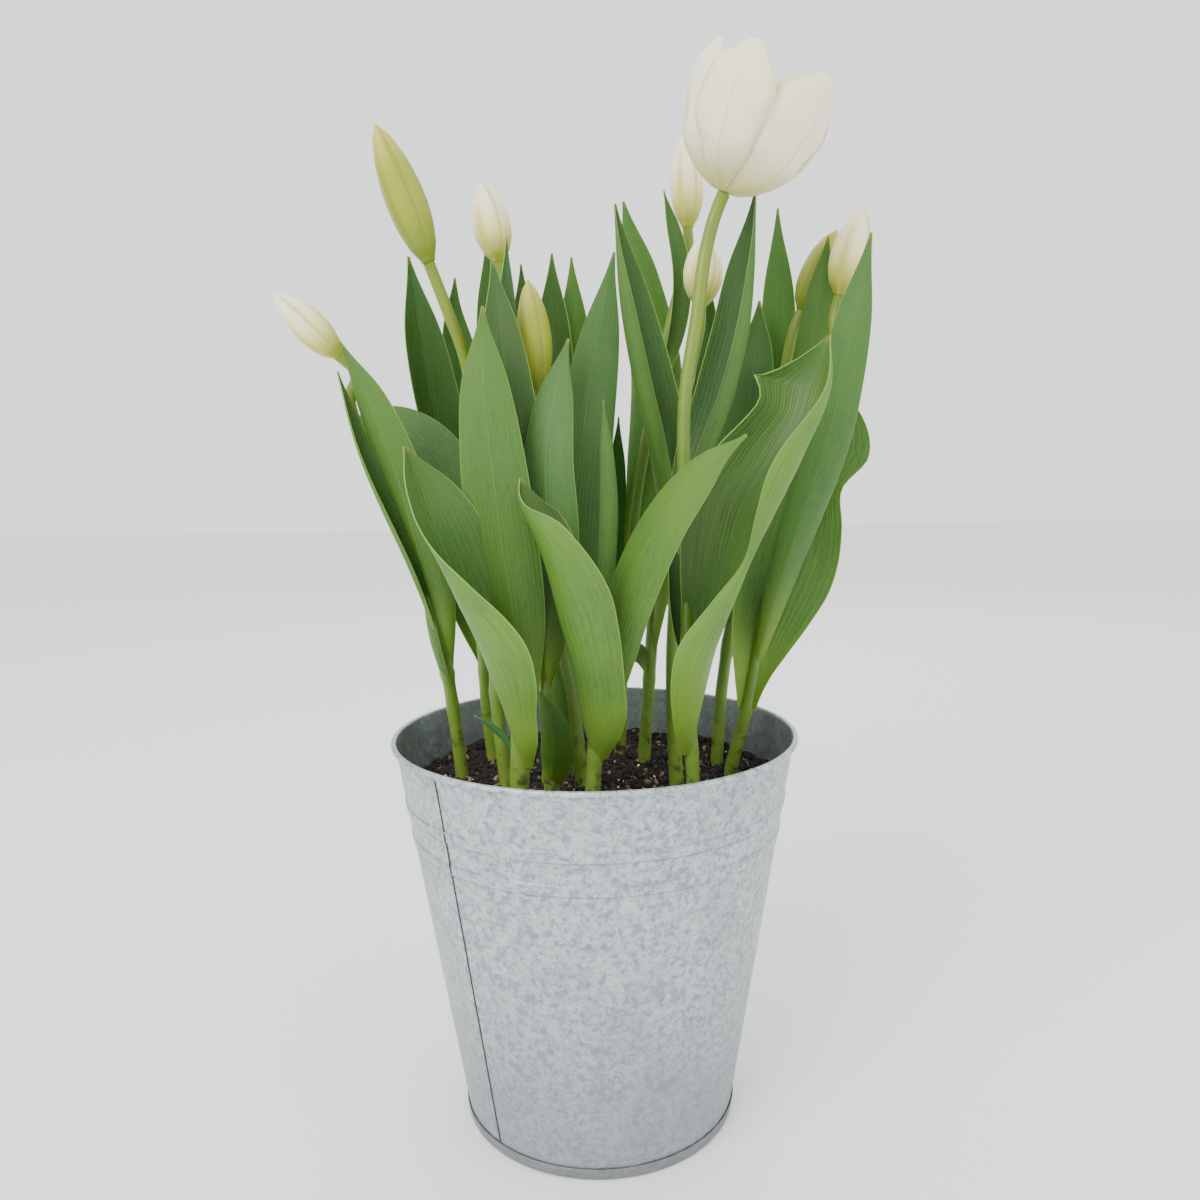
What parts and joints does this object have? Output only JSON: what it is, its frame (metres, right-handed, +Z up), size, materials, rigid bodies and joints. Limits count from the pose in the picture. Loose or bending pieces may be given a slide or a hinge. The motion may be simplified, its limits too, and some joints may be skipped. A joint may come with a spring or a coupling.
{
  "type": "potted tulip",
  "caption": "Potted tulip: leafy upright stems with an open bloom and closed buds, growing from soil in a round tapered metal bucket with a rolled rim.",
  "frame": {"origin": "centre of the bucket's bottom, on the surface that it stands on", "axes": "+Z up along the bucket's axis; -Y is the pictured front, and the bucket's seam is at the front left"},
  "size_m": [0.3075, 0.2298, 0.5738],
  "materials": {
    "bucket": "satin",
    "soil": "matte",
    "leaf": "satin",
    "cream_bud": "satin",
    "green_bud": "satin",
    "petal": "satin",
    "pistil": "satin",
    "bulb": "matte"
  },
  "bodies": {
    "root": {"bucket_wall": "bucket", "bucket_bottom": "bucket", "soil": "soil", "stem_01": "leaf", "stem_02": "leaf", "stem_03": "leaf", "stem_04": "leaf", "stem_05": "leaf", "stem_06": "leaf", "stem_07": "leaf", "stem_08": "leaf", "stem_09": "leaf", "stem_10": "leaf", "stem_11": "leaf", "stem_12": "leaf", "stem_13": "leaf", "bud_01": "cream_bud", "bud_04": "cream_bud", "bud_08": "cream_bud", "bud_09": "cream_bud", "bud_13": "cream_bud", "bud_03": "green_bud", "bud_05": "green_bud", "bud_12": "green_bud", "bloom": "petal", "pistil_and_stamens": "pistil", "bulb_01": "bulb", "bulb_02": "bulb", "bulb_03": "bulb", "bulb_04": "bulb", "bulb_05": "bulb", "bulb_06": "bulb", "bulb_07": "bulb", "bulb_08": "bulb", "bulb_09": "bulb", "bulb_10": "bulb", "bulb_11": "bulb", "bulb_12": "bulb", "bulb_13": "bulb"}
  },
  "joints": []
}
